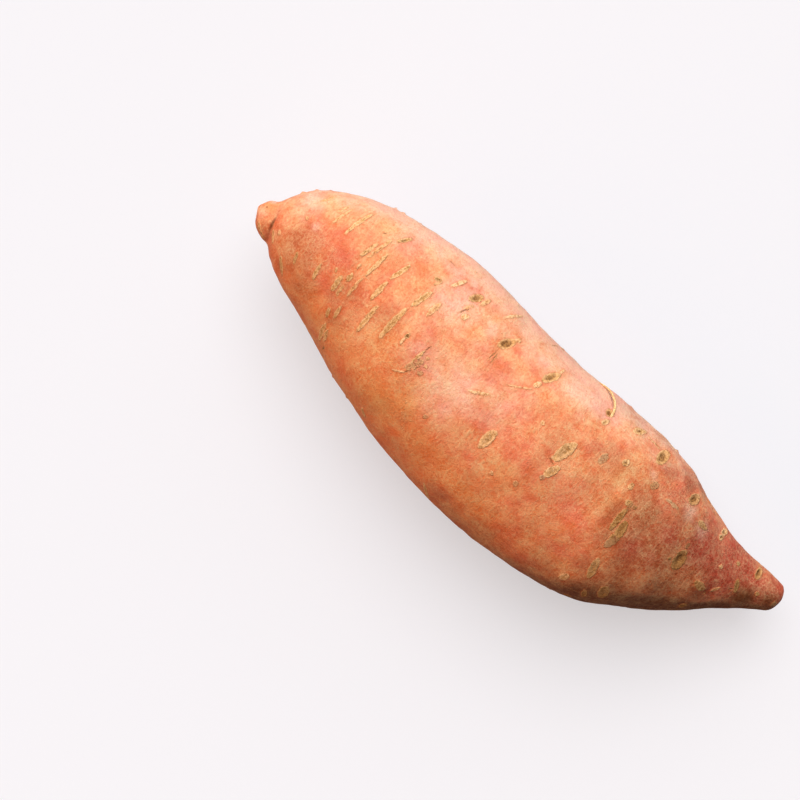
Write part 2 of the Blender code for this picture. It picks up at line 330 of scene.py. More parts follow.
# The painted pale sheen of the far side, turned towards the bright far side of the sky: the way that it
# faces, how squarely the skin faces it and where along the root it starts and is full, its strength,
# and how it fades below
FAR_TOWARDS = np.array(UP * 0.75 + RIGHT * 0.66)
FAR_RANGE = (0.45, 0.95)
FAR_ALONG = (172.0, 122.0)
FAR_STRENGTH = 0.68
FAR_AT_OUTLINE = 0.60
FAR_RISE = 1.6
FAR_LEAST = 0.2

# The soil and painted shade of the foot near the floor, the brick-red tip, the dull end and the painted
# warm bounce light of the near side: where each starts and is full, by height over the floor, along the
# root or by facing, and its strength
BELOW_RANGE = (16.0, -4.0)
BELOW_STRENGTH = 0.45
TIP_RANGE = (168.0, 198.0)
TIP_STRENGTH = 0.55
DULL_RANGE = (130.0, 180.0)
# The painted warm bounce light on the near side of the stem half
WARM_BOUNCE_RANGE = (0.35, 0.80)
WARM_BOUNCE_ALONG = (4.0, 20.0, 100.0, 135.0)
WARM_BOUNCE_STRENGTH = (0.0, 1.0, 1.0, 0.0)

# Colours of the skin, as the shader takes them
PEACH = (0.77, 0.36, 0.190, 1.0)
SALMON = (0.69, 0.225, 0.094, 1.0)
ORANGE = (0.61, 0.150, 0.036, 1.0)
ROSY = (0.66, 0.160, 0.092, 1.0)
OCHRE_SKIN = (0.74, 0.35, 0.120, 1.0)
# Orange of the painted warm bounce light
WARM_BOUNCE_ORANGE = (0.74, 0.20, 0.036, 1.0)
# Soil brown, which also stands for painted shade
SOIL_AND_SHADE_BROWN = (0.16, 0.055, 0.014, 1.0)
BRICK_SKIN = (0.42, 0.058, 0.034, 1.0)
# Russet brown, which also stands for painted shade
RUSSET_AND_SHADE_BROWN = (0.42, 0.126, 0.049, 1.0)
# Pale pink of the painted highlights and sheen
HIGHLIGHT_PALE = (0.86, 0.55, 0.45, 1.0)
LIGHT_KEPT = (0.70, 0.85, 0.85)
LIGHT_ADDED = (0.22, 0.135, 0.078)
DARK_KEPT = (0.80, 0.58, 0.45)
DARK_STREAK = (0.13, 0.040, 0.012, 1.0)
CORK = (0.68, 0.40, 0.165, 1.0)
CORK_DARK = (0.44, 0.220, 0.072, 1.0)
CORK_PALE = (0.93, 0.64, 0.37, 1.0)
CORK_GREY = (0.46, 0.33, 0.22, 1.0)
CORK_DIMMED = (0.52, 0.45, 0.30)
PIT_DARK = (0.22, 0.100, 0.032, 1.0)

# The tints kept at the vertices, four to a layer of colour
TINT_LAYERS = {
    "tint_warm": ("rose", "ochre", "soil_and_shade", "russet_and_shade"),
    "tint_deep": ("brick", "painted_highlight", "dull", "painted_warm_bounce"),
}

# Tints in the order in which they lie on the skin: colour and strength
TINT_COLOURS = (
    ("painted_warm_bounce", WARM_BOUNCE_ORANGE, 0.45),
    ("ochre", OCHRE_SKIN, 0.55),
    ("rose", ROSY, 0.80),
    ("russet_and_shade", RUSSET_AND_SHADE_BROWN, 0.85),
    ("brick", BRICK_SKIN, 0.85),
    ("soil_and_shade", SOIL_AND_SHADE_BROWN, 0.92),
    ("painted_highlight", HIGHLIGHT_PALE, 0.60),
)

# How patches and mottles break up a tint, how steady the soil and painted shade stay, how strong the
# broken tint is where it starts and is full, and the dark streaks over the soil and painted shade and
# over dull skin
BROKEN_BY_PATCHES = 1.5
BROKEN_BY_MOTTLES = 1.2
BROKEN_START = -0.25
STEADY_SHARE = 0.70
TINT_EDGE = (0.06, 0.72)
DULL_STREAKS = 0.30
DARK_STREAK_STEP = (0.50, 0.40)
DARK_STREAK_SHARE = 0.72

# Noise that bends the skin's patterns (waves a metre, detail, roughness), and how far it
# bends them in metres
BEND_NOISE = (900.0, 3.0, 0.6)
BEND_BY = 0.0022

# Stretched places, for patterns that run round the root or along it
STRETCHES = {
    "leaning": (1.3, 0.8, 0.8),
    "around": (1300.0, 260.0, 260.0),
    "lengthwise": (200.0, 1100.0, 1100.0),
}

# The skin's noises: the place that each is laid on, waves a metre, detail, roughness
SKIN_NOISES = {
    "broad": ("plain", 34.0, 3.0, 0.50),
    "patchy": ("plain", 105.0, 3.0, 0.60),
    "cloudy": ("plain", 180.0, 2.0, 0.50),
    "mottle": ("bent", 260.0, 4.0, 0.65),
    "fleck": ("leaning", 1150.0, 3.0, 0.62),
    "crumb": ("plain", 1150.0, 3.0, 0.65),
    "grain": ("plain", 1700.0, 2.0, 0.70),
    "hoops": ("around", 1.0, 3.0, 0.60),
    "streaks": ("lengthwise", 1.0, 3.0, 0.60),
}

# The skin's nets: cells a metre and the lines' width as a share of a cell
SKIN_NETS = {"net": (700.0, 0.20), "fine_net": (1300.0, 0.28)}
NET_MIDDLE = 0.02

# Broad colours over the salmon ground: pattern, where it starts and is full, colour, strength
BROAD_COLOURS = (
    ("broad", 0.34, 0.66, PEACH, 0.65),
    ("patchy", 0.46, 0.68, ROSY, 0.60),
    ("patchy", 0.48, 0.30, OCHRE_SKIN, 0.28),
    ("mottle", 0.50, 0.68, PEACH, 0.50),
    ("mottle", 0.50, 0.30, ORANGE, 0.42),
)

# Light and dark textures: strength, and the patterns that each is held to, as they are or
# with where they start and are full
LIGHT_TEXTURES = (
    (0.35, ("hoops", 0.54, 0.68)),
    (0.65, "net", ("patchy", 0.62, 0.42)),
    (0.80, ("fleck", 0.50, 0.66), ("cloudy", 0.35, 0.65)),
    (0.60, "fine_net", ("mottle", 0.40, 0.60)),
    (0.30, ("grain", 0.52, 0.70)),
    (0.50, ("mottle", 0.50, 0.68), "dim"),
    (0.12, "net", "dim"),
    (0.45, ("streaks", 0.50, 0.66), "dim"),
)
DARK_TEXTURES = (
    (0.36, ("fleck", 0.50, 0.34)),
    (0.45, ("grain", 0.46, 0.28)),
    (0.80, ("mottle", 0.50, 0.34), "dim"),
)
# How much of the light texture stays where the soil and painted shade lie
SOILED_AND_SHADED_LIGHTS = 0.60

# Ragged edges of the painted marks: noise (waves a metre, detail, roughness), its width in
# millimetres, and the least slope that distances are divided by
RAGGED_NOISE = (620.0, 4.0, 0.72)
RAGGED_EDGE = 1.4
LEAST_SLOPE = 0.02

# Where the parts of a mark start and are full, in millimetres outside the mark, or outside
# its core for the core
RING_EDGE = (0.8, 0.0)
CORK_EDGE = (0.32, -0.12)
RIM_EDGE = (-0.40, -0.05)
CORE_EDGE = (0.24, -0.36)

# Where the crumb or the flecks start and are full in each part of a mark
CORK_CRUMB = (0.38, 0.60)
CORK_LIT = (0.38, 0.60)
CORK_GAPS = (0.72, 0.90)
RIM_CRUMB = (0.35, 0.55)
PIT_CRUMB = (0.44, 0.64)
CORE_SPOTS = (0.66, 0.76)

# How strong each part of a mark is, and how much of that its style adds
RING_STRENGTH = 0.35
RIM_PALENESS = 0.25
RIM_BY_PALENESS = 0.5
WHOLE_BY_PATCH = 0.6
CORE_BY_DARKNESS = 0.50
PIT_STRENGTH = 0.58
PIT_BY_DARKNESS = 0.35
CORK_DIM_RANGE = (0.0, 0.9)

# Roughness and relief: what each pattern adds, and the bumps' depth in metres
SKIN_ROUGHNESS = 0.34
ROUGHNESS_ADDED = {"fleck": 0.24, "cork": 0.30, "soiled_and_shaded": 0.35}
SKIN_RELIEF = {"fleck": 1.1, "net": 0.22, "hoops": 0.8, "grain": 0.35}
CRUMB_RELIEF = 1.6
CORE_RELIEF = 1.2
SKIN_BUMP = 0.00016
MARK_BUMP = 0.00012
SKIN_GLOSS = 0.22

# Marks out of sight from above: the dents drawn for the solid, repeated here, each with an
# eye or a scar in it that is smaller than the dent
DENT_COUNT = 24
DENT_SEED = 41
DENT_ALONG = (22.0, 186.0)
DENT_TURN = (math.radians(192.0), math.radians(348.0))
DENT_WIDTH = (2.2, 3.0)
DENT_LENGTH = (3.2, 5.6)
DENT_DEPTH = (0.35, 0.90)
DENT_GAP = 15.0
REST_ALONG = (66.0, 132.0)
REST_TURN = (math.radians(238.0), math.radians(302.0))
KEEL_SHIFT = 3.0
MIDDLE_RADIUS = 28.0
END_RADIUS = 4.0
DENT_STYLES = ("eye", "slit", "eye", "ring", "pit")
EYE_LENGTH_SHARE = 0.55
EYE_WIDTH_SHARE = 0.42

# Small marks scattered between the dents: their places along the root in millimetres and
# round it in degrees, their sizes, lean and least gap, and their half sizes at a size of 1
SCATTER_COUNT = 84
SCATTER_SEED = 7
SCATTER_ALONG = (9.0, 193.0)
SCATTER_TURN = (176.0, 364.0)
SCATTER_SIZE = (0.5, 1.0)
SCATTER_LEAN = 0.35
SCATTER_GAP = 3.2
SLIT_HALF = 4.2
SPOT_HALF = 1.6
SCATTER_WIDTH = 0.7
SCATTER_STYLES = ("slit", "faint", "faint", "patch", "pale", "dot", "olive", "slit")

# The hair root: the pixels that it passes over and its lift off the skin, its thickness at
# both ends, in millimetres, then its taper, its mesh and its finish
HAIR_ROUTE = (
    (611.4, 417.0, -0.4),
    (613.0, 412.4, 0.5),
    (612.8, 406.0, 1.1),
    (610.8, 399.4, 1.2),
    (607.6, 392.6, 0.9),
    (603.6, 387.4, 0.5),
    (598.8, 383.6, 0.3),
)
HAIR_THICKNESS = (0.90, 0.42)
HAIR_TAPER = 1.5
HAIR_SIDES = 3
HAIR_STEPS = 8
HAIR_NOISE = (1400.0, 3.0, 0.6)
HAIR_STREAKS = (0.35, 0.65)
HAIR_DARK = (0.62, 0.36, 0.15, 1.0)
HAIR_PALE = (0.86, 0.62, 0.33, 1.0)
HAIR_ROUGHNESS = 0.6
HAIR_BUMP = 0.00008

# A little below 1, for the picture's deep shades
PICTURE_GAMMA = 0.85

# The lights: strength, spread in degrees, colour, and the way to each by the picture's
# right, its up and the height over the floor
SUNS = {
    "key": (2.42, 56.0, (1.0, 0.985, 0.965), (0.04, 0.42, 0.89)),
    "fill": (1.30, 60.0, (1.0, 0.50, 0.20), (-0.87, -0.33, 0.37)),
}

# The sky brightens from the picture's near side to its far side: where that starts
# and ends, and its strength at both
SKY_COLOUR = (0.97, 0.97, 1.0, 1.0)
SKY_RANGE = (-0.1, 1.0, 0.06, 1.9)

# The floor's size and finish, and its own glow as the camera sees it and as it lights the root
FLOOR_SIZE = 12.0
FLOOR_COLOUR = (0.30, 0.30, 0.315, 1.0)
FLOOR_ROUGHNESS = 0.9
FLOOR_GLOSS = 0.1
FLOOR_GLOW = (0.98, 0.975, 1.0, 1.0)
FLOOR_LIFT = 0.57
FLOOR_BOUNCE = 0.08

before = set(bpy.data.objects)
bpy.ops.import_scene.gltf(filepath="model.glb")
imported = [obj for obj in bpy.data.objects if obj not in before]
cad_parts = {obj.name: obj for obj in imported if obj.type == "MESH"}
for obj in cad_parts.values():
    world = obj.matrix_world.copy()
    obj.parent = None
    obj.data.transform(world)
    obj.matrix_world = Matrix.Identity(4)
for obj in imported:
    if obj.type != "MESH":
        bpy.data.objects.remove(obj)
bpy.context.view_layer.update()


def camera_place():
    """The camera's place over the root."""
    return -RIGHT * CAMERA_LEFT + UP * CAMERA_UP + Vector((0.0, 0.0, CAMERA_HEIGHT))


def pixel_ray(x, y):
    """The direction in which the camera sees a pixel of the picture."""
    slope = SENSOR / LENS / PICTURE
    ray = RIGHT * ((x - PICTURE / 2) * slope) + UP * ((PICTURE / 2 - y) * slope)
    return (ray + Vector((0.0, 0.0, -1.0))).normalized()


def pixels_of(points):
    """Where the camera sees an array of points, in pixels."""
    away = points - np.array(camera_place())
    scale = LENS / SENSOR * PICTURE / -away[:, 2]
    across = away @ np.array(RIGHT) * scale
    rise = away @ np.array(UP) * scale
    return np.stack((PICTURE / 2 + across, PICTURE / 2 - rise), axis=1)


def vertex_array(mesh, layer="co"):
    """A mesh's vertex places or normals as an array."""
    values = np.empty(len(mesh.vertices) * 3, np.float32)
    if layer == "co":
        mesh.vertices.foreach_get("co", values)
    else:
        mesh.vertex_normals.foreach_get("vector", values)
    return values.reshape(-1, 3).astype(float)


def ramp(values, start, full):
    """Rise from 0 at the start to 1 where it is full."""
    return np.clip((values - start) / (full - start), 0.0, 1.0)


def select_only(thing):
    """Make one object the only selected and active one."""
    for other in bpy.context.selected_objects:
        other.select_set(False)
    thing.select_set(True)
    bpy.context.view_layer.objects.active = thing


def fine_skin():
    """A copy of the solid, welded, made of quads again and subdivided."""
    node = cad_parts["sweet_potato"]
    skin = bpy.data.objects.new("skin", node.data.copy())
    bpy.context.scene.collection.objects.link(skin)
    skin.data.materials.clear()
    select_only(skin)
    bpy.ops.mesh.customdata_custom_splitnormals_clear()
    bpy.ops.object.mode_set(mode="EDIT")
    bpy.ops.mesh.select_all(action="SELECT")
    bpy.ops.mesh.remove_doubles(threshold=WELD)
    bpy.ops.mesh.tris_convert_to_quads(face_threshold=QUAD_ANGLE, shape_threshold=QUAD_ANGLE)
    bpy.ops.mesh.select_all(action="DESELECT")
    bpy.ops.object.mode_set(mode="OBJECT")
    smoother = skin.modifiers.new("finer", "SUBSURF")
    smoother.levels = SKIN_LEVELS
    smoother.render_levels = SKIN_LEVELS
    bpy.ops.object.modifier_apply(modifier=smoother.name)
    skin.data.shade_smooth()
    return skin


class Ground:
    """The smooth skin that marks are laid on."""

    def __init__(self, skin):
        mesh = skin.data
        self.places = vertex_array(mesh)
        self.normals = vertex_array(mesh, "normal")
        self.pixels = pixels_of(self.places)
        shape = bmesh.new()
        shape.from_mesh(mesh)
        self.tree = BVHTree.FromBMesh(shape)
        shape.free()

    def under_pixel(self, x, y):
        """Place and normal of the skin that a pixel shows, or of the outline nearest to it."""
        place, normal, _, _ = self.tree.ray_cast(camera_place(), pixel_ray(x, y))
        if place is None:
            nearest = int(np.argmin(np.hypot(self.pixels[:, 0] - x, self.pixels[:, 1] - y)))
            place = Vector(self.places[nearest])
            normal = Vector(self.normals[nearest])
        return place, normal

    def at_turn(self, along, turn):
        """Place and normal at a distance from the stem end and a turn round the root."""
        x = along * MM - LENGTH / 2
        near = np.flatnonzero(np.abs(self.places[:, 0] - x) < SLICE_HALF * MM)
        ring = self.places[near]
        low, high = ring.min(axis=0), ring.max(axis=0)
        middle, half = (low + high) / 2, (high - low) / 2
        shift = KEEL_SHIFT * MM * min(0.0, math.sin(turn)) ** 2
        y = middle[1] + half[1] * math.cos(turn) + shift
        z = middle[2] + half[2] * math.sin(turn)
        place, normal, _, _ = self.tree.find_nearest(Vector((x, y, z)))
        return place, normal

    def bump(self, x, y, radius):
        """A soft round bump at a place in the picture, 1 at its middle, its radius in millimetres."""
        place, _ = self.under_pixel(x, y)
        away = np.linalg.norm(self.places - np.array(place), axis=1) / (radius * MM)
        return np.exp(-away ** 2)


class Mark:
    """One scar, eye or streak: its middle, its two directions in the skin, its half sizes."""

    def __init__(self, middle, normal, long_way, half_length, half_width, style):
        self.middle = np.array(middle)
        self.normal = np.array(normal)
        flat = long_way - normal * long_way.dot(normal)
        self.long_way = np.array(flat.normalized())
        self.short_way = np.cross(self.normal, self.long_way)
        self.half_length = max(half_length, half_width)
        self.half_width = half_width
        self.style = STYLES[style]

    def local(self, places):
        """Offsets across and along the mark, and off the skin, in millimetres."""
        away = (places - self.middle) / MM
        return away @ self.short_way, away @ self.long_way, away @ self.normal

    def gap(self, places):
        """Distance in millimetres from the mark's edge, as from a stretched circle."""
        across, along, off = self.local(places)
        past = np.maximum(np.abs(along) - (self.half_length - self.half_width), 0.0)
        return np.sqrt(across ** 2 + past ** 2 + off ** 2) - self.half_width


def picture_marks(ground):
    """The marks seen from above, laid on the skin between their two ends."""
    marks = []
    for x_a, y_a, x_b, y_b, width, style in MARKS:
        middle, normal = ground.under_pixel((x_a + x_b) / 2, (y_a + y_b) / 2)
        end_a, _ = ground.under_pixel(x_a, y_a)
        end_b, _ = ground.under_pixel(x_b, y_b)
        way = end_b - end_a
        marks.append(Mark(middle, normal, way, way.length / 2 / MM, width / 2, style))
    return marks


def drawn_dents():
    """The solid's drawn dents: distance from the stem end, turn, half width, half length."""
    draw = random.Random(DENT_SEED)
    dents = []
    while len(dents) < DENT_COUNT:
        along = draw.uniform(*DENT_ALONG)
        turn = draw.uniform(*DENT_TURN)
        width = draw.uniform(*DENT_WIDTH)
        length = draw.uniform(*DENT_LENGTH)
        draw.uniform(*DENT_DEPTH)
        at_rest = REST_ALONG[0] < along < REST_ALONG[1] and REST_TURN[0] < turn < REST_TURN[1]
        bulge = math.sin(math.acos(1.0 - 2.0 * along * MM / LENGTH))
        reach = MIDDLE_RADIUS * bulge + END_RADIUS
        gaps = [math.hypot(along - dent[0], (turn - dent[1]) * reach) for dent in dents]
        if not at_rest and all(gap >= DENT_GAP for gap in gaps):
            dents.append((along, turn, width, length))
    return dents


def dent_eyes(ground, draw):
    """An eye or a scar in each of the solid's drawn dents."""
    marks = []
    for along, turn, width, length in drawn_dents():
        middle, normal = ground.at_turn(along, turn)
        round_way = normal.cross(Vector((1.0, 0.0, 0.0)))
        half_length = length * EYE_LENGTH_SHARE
        half_width = width * EYE_WIDTH_SHARE
        style = draw.choice(DENT_STYLES)
        marks.append(Mark(middle, normal, round_way, half_length, half_width, style))
    return marks


def hidden_marks(ground, taken):
    """Marks of the lower side: an eye in each dent, and small scars between them."""
    draw = random.Random(SCATTER_SEED)
    marks = dent_eyes(ground, draw)
    while len(marks) < DENT_COUNT + SCATTER_COUNT:
        along = draw.uniform(*SCATTER_ALONG)
        turn = math.radians(draw.uniform(*SCATTER_TURN))
        middle, normal = ground.at_turn(along, turn)
        size = draw.uniform(*SCATTER_SIZE)
        style = draw.choice(SCATTER_STYLES)
        lean = draw.uniform(-SCATTER_LEAN, SCATTER_LEAN)
        close = min(float(mark.gap(np.array(middle)[None])[0]) for mark in taken + marks)
        if close > SCATTER_GAP:
            round_way = normal.cross(Vector((1.0, lean, 0.0)))
            half = SLIT_HALF if style in ("slit", "faint") else SPOT_HALF
            marks.append(Mark(middle, normal, round_way, size * half, size * SCATTER_WIDTH, style))
    return marks


def mark_heights(ground, marks):
    """Height of the skin at every vertex that the marks ask for, in millimetres."""
    heights = np.zeros(len(ground.places))
    for mark in marks:
        core, depth, rim = mark.style[4:]
        reach = (mark.half_length + MARK_MARGIN) * MM
        near = np.flatnonzero(np.linalg.norm(ground.places - mark.middle, axis=1) < reach)
        places = ground.places[near]
        across, along, _ = mark.local(places)
        ragged = np.array([noise.noise(Vector(place) * RAGGED_WAVES) for place in places])
        across = across + RAGGED_SHARE * mark.half_width * ragged
        size = np.hypot(across / mark.half_width, along / mark.half_length)
        bowl = np.exp(-(size / max(core, LEAST_BOWL)) ** 2)
        edge = np.exp(-((size - 1.0) / RIM_WIDTH) ** 2) * (RIM_EVEN + RIM_RAGGED * ragged)
        inside = np.exp(-(size / INSIDE_WIDTH) ** 4)
        heights[near] += -depth * bowl + rim * edge + INSIDE_SHARE * rim * inside
    return heights


def crease_line(ground):
    """The crease round the stub's foot, as one value for each vertex."""
    value = np.zeros(len(ground.places))
    for (x_a, y_a, strong_a), (x_b, y_b, strong_b) in zip(STUB_CREASE, STUB_CREASE[1:]):
        way = np.array((x_b - x_a, y_b - y_a))
        offset = ground.pixels - np.array((x_a, y_a))
        share = np.clip(offset @ way / (way @ way), 0.0, 1.0)
        away = np.linalg.norm(offset - share[:, None] * way, axis=1) / STUB_CREASE_WIDTH
        strength = strong_a + (strong_b - strong_a) * share
        value = np.maximum(value, strength * np.exp(-away ** 2))
    return value * (ground.normals[:, 2] > 0.0)


def bump_heights(ground):
    """The crease round the stub's foot, soft lumps, and warts along the outline, in millimetres."""
    heights = -STUB_CREASE_DEPTH * crease_line(ground)
    for x, y, radius, height in LUMPS:
        heights += height * ground.bump(x, y, radius)
    for x, y, width, height in WARTS:
        heights += height * ground.bump(x, y, width / 2)
    return heights


def skin_heights(ground):
    """Soft lumps, faint hoops and fine unevenness all over, in millimetres."""
    heights = np.zeros(len(ground.places))
    for waves, start, height in UNEVENNESS:
        points = ground.places * np.array(waves) + np.array(start)
        heights += height * np.array([noise.noise(Vector(point)) for point in points])
    return heights


def push_out(skin, ground, heights):
    """Move every vertex along its normal, easing off at the resting spot."""
    ease = np.clip(ground.places[:, 2] / (EASE_HEIGHT * MM), 0.0, 1.0)
    places = ground.places + ground.normals * (heights * ease * MM)[:, None]
    low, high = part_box("sweet_potato")
    places = np.clip(places, np.array(low), np.array(high))
    skin.data.vertices.foreach_set("co", places.astype(np.float32).ravel())
    skin.data.update()


def face_values(mesh, layer):
    """A mesh layer with one whole number for each face."""
    values = np.empty(len(mesh.polygons), np.int32)
    mesh.polygons.foreach_get(layer, values)
    return values


def nearest_marks(mesh, places, marks):
    """For every face corner, its vertex and the mark nearest to its face, or -1 for none in reach."""
    corners = np.empty(len(mesh.loops), np.int32)
    mesh.loops.foreach_get("vertex_index", corners)
    totals = face_values(mesh, "loop_total")
    centres = np.add.reduceat(places[corners], face_values(mesh, "loop_start"), axis=0)
    centres /= totals[:, None]
    best = np.full(len(centres), MARK_REACH)
    owner = np.full(len(centres), -1)
    for index, mark in enumerate(marks):
        gap = mark.gap(centres)
        closer = gap < best
        best[closer] = gap[closer]
        owner[closer] = index
    return corners, np.repeat(owner, totals)


def write_marks(mesh, places, marks):
    """Give every face corner its nearest mark's own coordinates, sizes and look."""
    corners, owner = nearest_marks(mesh, places, marks)
    spread = np.full((len(corners), 2), UNMARKED)
    sizes = np.ones((len(corners), 3))
    looks = np.zeros((len(corners), 4))
    for index, mark in enumerate(marks):
        mine = np.flatnonzero(owner == index)
        across, along, _ = mark.local(places[corners[mine]])
        spread[mine] = np.stack((across, along), axis=1)
        sizes[mine] = (mark.half_width, mark.half_length, mark.style[4])
        looks[mine] = mark.style[:4]
    layer = mesh.uv_layers.new(name="mark_place")
    layer.uv.foreach_set("vector", spread.astype(np.float32).ravel())
    size_layer = mesh.attributes.new("mark_size", "FLOAT_VECTOR", "CORNER")
    size_layer.data.foreach_set("vector", sizes.astype(np.float32).ravel())
    look_layer = mesh.attributes.new("mark_look", "FLOAT_COLOR", "CORNER")
    look_layer.data.foreach_set("color", looks.astype(np.float32).ravel())


def soft_spots(ground, spots):
    """Soft round spots laid on the skin, as one value for each vertex."""
    value = np.zeros(len(ground.places))
    for x, y, radius, strength in spots:
        value = np.maximum(value, strength * ground.bump(x, y, radius))
    return value


def near_soil_and_shade_band(ground, along):
    """The band of soil and painted shade along the near edge, fading towards the underside."""
    level = ground.normals[:, :2]
    upward = np.maximum(ground.normals[:, 2], 0.0)
    facing = level @ BAND_TOWARDS / np.maximum(np.linalg.norm(level, axis=1), LEAST_LEVEL)
    facing *= np.sqrt(np.maximum(1.0 - upward ** 2, 0.0))
    fade = np.clip(1.0 + ground.normals[:, 2], 0.0, 1.0)
    return ramp(facing, *BAND_RANGE) * fade * np.interp(along, BAND_ALONG, BAND_STRENGTH)


def far_rim_sheen(ground, along):
    """The painted pale sheen of the far side, fading towards the tip and the underside."""
    painted_highlight = FAR_STRENGTH * ramp(ground.normals @ FAR_TOWARDS, *FAR_RANGE)
    fade = np.clip(FAR_AT_OUTLINE + FAR_RISE * ground.normals[:, 2], FAR_LEAST, 1.0)
    return painted_highlight * fade * ramp(along, *FAR_ALONG)


def tint_values(ground):
    """How strong each tint is at every vertex, by the tint's name."""
    along = (ground.places[:, 0] + LENGTH / 2) / MM
    height = ground.places[:, 2] / MM
    below = BELOW_STRENGTH * ramp(height, *BELOW_RANGE)
    tip = TIP_STRENGTH * ramp(along, *TIP_RANGE)
    near_side = ramp(-ground.normals[:, 1], *WARM_BOUNCE_RANGE)
    # Soil and painted shade: spots, the painted shade in the crease round the stub's foot, the near
    # band and the foot close to the floor
    soil_and_shade_parts = (soft_spots(ground, SOIL_AND_SHADE_SPOTS), crease_line(ground), near_soil_and_shade_band(ground, along), below)
    return {
        "rose": soft_spots(ground, ROSE),
        "ochre": soft_spots(ground, OCHRE),
        "soil_and_shade": np.maximum.reduce(soil_and_shade_parts),
        "russet_and_shade": soft_spots(ground, RUSSET_AND_SHADE_SPOTS),
        "brick": np.maximum(soft_spots(ground, BRICK), tip),
        "painted_highlight": np.maximum(soft_spots(ground, HIGHLIGHT_SPOTS), far_rim_sheen(ground, along)),
        "dull": ramp(along, *DULL_RANGE),
        # Painted warm bounce light on the near side
        "painted_warm_bounce": near_side * np.interp(along, WARM_BOUNCE_ALONG, WARM_BOUNCE_STRENGTH),
    }


def write_tints(mesh, ground):
    """Keep the tints at the vertices, four to a layer of colour."""
    values = tint_values(ground)
    for layer_name, tints in TINT_LAYERS.items():
        layer = mesh.attributes.new(layer_name, "FLOAT_COLOR", "POINT")
        kept = np.stack([values[tint] for tint in tints], axis=1)
        layer.data.foreach_set("color", kept.astype(np.float32).ravel())


class Recipe:
    """The nodes of a material or of the sky, with short ways of adding to them."""

    def __init__(self, owner, shader="Principled BSDF"):
        owner.use_nodes = True
        self.owner = owner
        self.tree = owner.node_tree
        self.shader = self.tree.nodes[shader]

    def add(self, kind, inputs, **settings):
        """A node with its settings, its inputs linked or set."""
        made = self.tree.nodes.new(kind)
        for name, value in settings.items():
            setattr(made, name, value)
        for key, value in inputs.items():
            self.feed(made.inputs[key], value)
        return made

    def feed(self, socket, value):
        """Link or set one input."""
        if isinstance(value, bpy.types.NodeSocket):
            self.tree.links.new(value, socket)
        else:
            socket.default_value = value

    def finish(self, inputs):
        """Link or set the shader's own inputs."""
        for name, value in inputs.items():
            self.feed(self.shader.inputs[name], value)

    def math(self, operation, *values):
        """One step of arithmetic."""
        return self.add("ShaderNodeMath", dict(enumerate(values)), operation=operation).outputs[0]

    def vector(self, operation, *values):
        """One step of vector arithmetic."""
        return self.add("ShaderNodeVectorMath", dict(enumerate(values)), operation=operation)

    def step(self, value, start, end, low=0.0, high=1.0):
        """A smooth step from low at start to high at end."""
        inputs = {"Value": value, "From Min": start, "From Max": end, "To Min": low, "To Max": high}
        return self.add("ShaderNodeMapRange", inputs, interpolation_type="SMOOTHSTEP").outputs[0]

    def mix(self, factor, first, second):
        """One colour over another."""
        inputs = {"Factor": factor, 6: first, 7: second}
        return self.add("ShaderNodeMix", inputs, data_type="RGBA").outputs[2]

    def noise(self, place, waves, detail, rough):
        """A noise pattern from 0 to 1, with its waves a metre."""
        inputs = {"Vector": place, "Scale": waves, "Detail": detail, "Roughness": rough}
        return self.add("ShaderNodeTexNoise", inputs)

    def net(self, place, waves, width):
        """A net of fine lines, 1 along their middles."""
        inputs = {"Vector": place, "Scale": waves}
        cells = self.add("ShaderNodeTexVoronoi", inputs, feature="DISTANCE_TO_EDGE")
        return self.step(cells.outputs["Distance"], width, NET_MIDDLE)

    def relief(self, inputs):
        """A bump in full strength, from its height and its distance in metres."""
        return self.add("ShaderNodeBump", {"Strength": 1.0, **inputs}).outputs[0]


def material_recipe(name):
    """A new material's recipe."""
    return Recipe(bpy.data.materials.new(name))


def skin_patterns(recipe):
    """The place, the noises and the nets that the skin's layers share, by name."""
    place = recipe.add("ShaderNodeTexCoord", {}).outputs["Object"]
    bend = recipe.noise(place, *BEND_NOISE).outputs["Color"]
    bent = recipe.vector("MULTIPLY_ADD", bend, (BEND_BY, BEND_BY, BEND_BY), place).outputs[0]
    places = {"plain": place, "bent": bent}
    for name, stretch in STRETCHES.items():
        places[name] = recipe.vector("MULTIPLY", place, stretch).outputs[0]
    pattern = {"place": place}
    for name, (laid_on, waves, detail, rough) in SKIN_NOISES.items():
        pattern[name] = recipe.noise(places[laid_on], waves, detail, rough).outputs["Fac"]
    for name, (waves, width) in SKIN_NETS.items():
        pattern[name] = recipe.net(bent, waves, width)
    return pattern


def kept_tints(recipe):
    """The tints kept at the vertices, by name."""
    kept = {}
    for layer_name, tints in TINT_LAYERS.items():
        layer = recipe.add("ShaderNodeAttribute", {}, attribute_name=layer_name).outputs
        parts = recipe.add("ShaderNodeSeparateColor", {"Color": layer["Color"]}).outputs
        sockets = (parts["Red"], parts["Green"], parts["Blue"], layer["Alpha"])
        kept.update(zip(tints, sockets))
    return kept


def broad_colour(recipe, pattern):
    """The skin's broad hues and mottles."""
    colour = SALMON
    for name, start, full, tint, strength in BROAD_COLOURS:
        share = recipe.math("MULTIPLY", recipe.step(pattern[name], start, full), strength)
        colour = recipe.mix(share, colour, tint)
    return colour


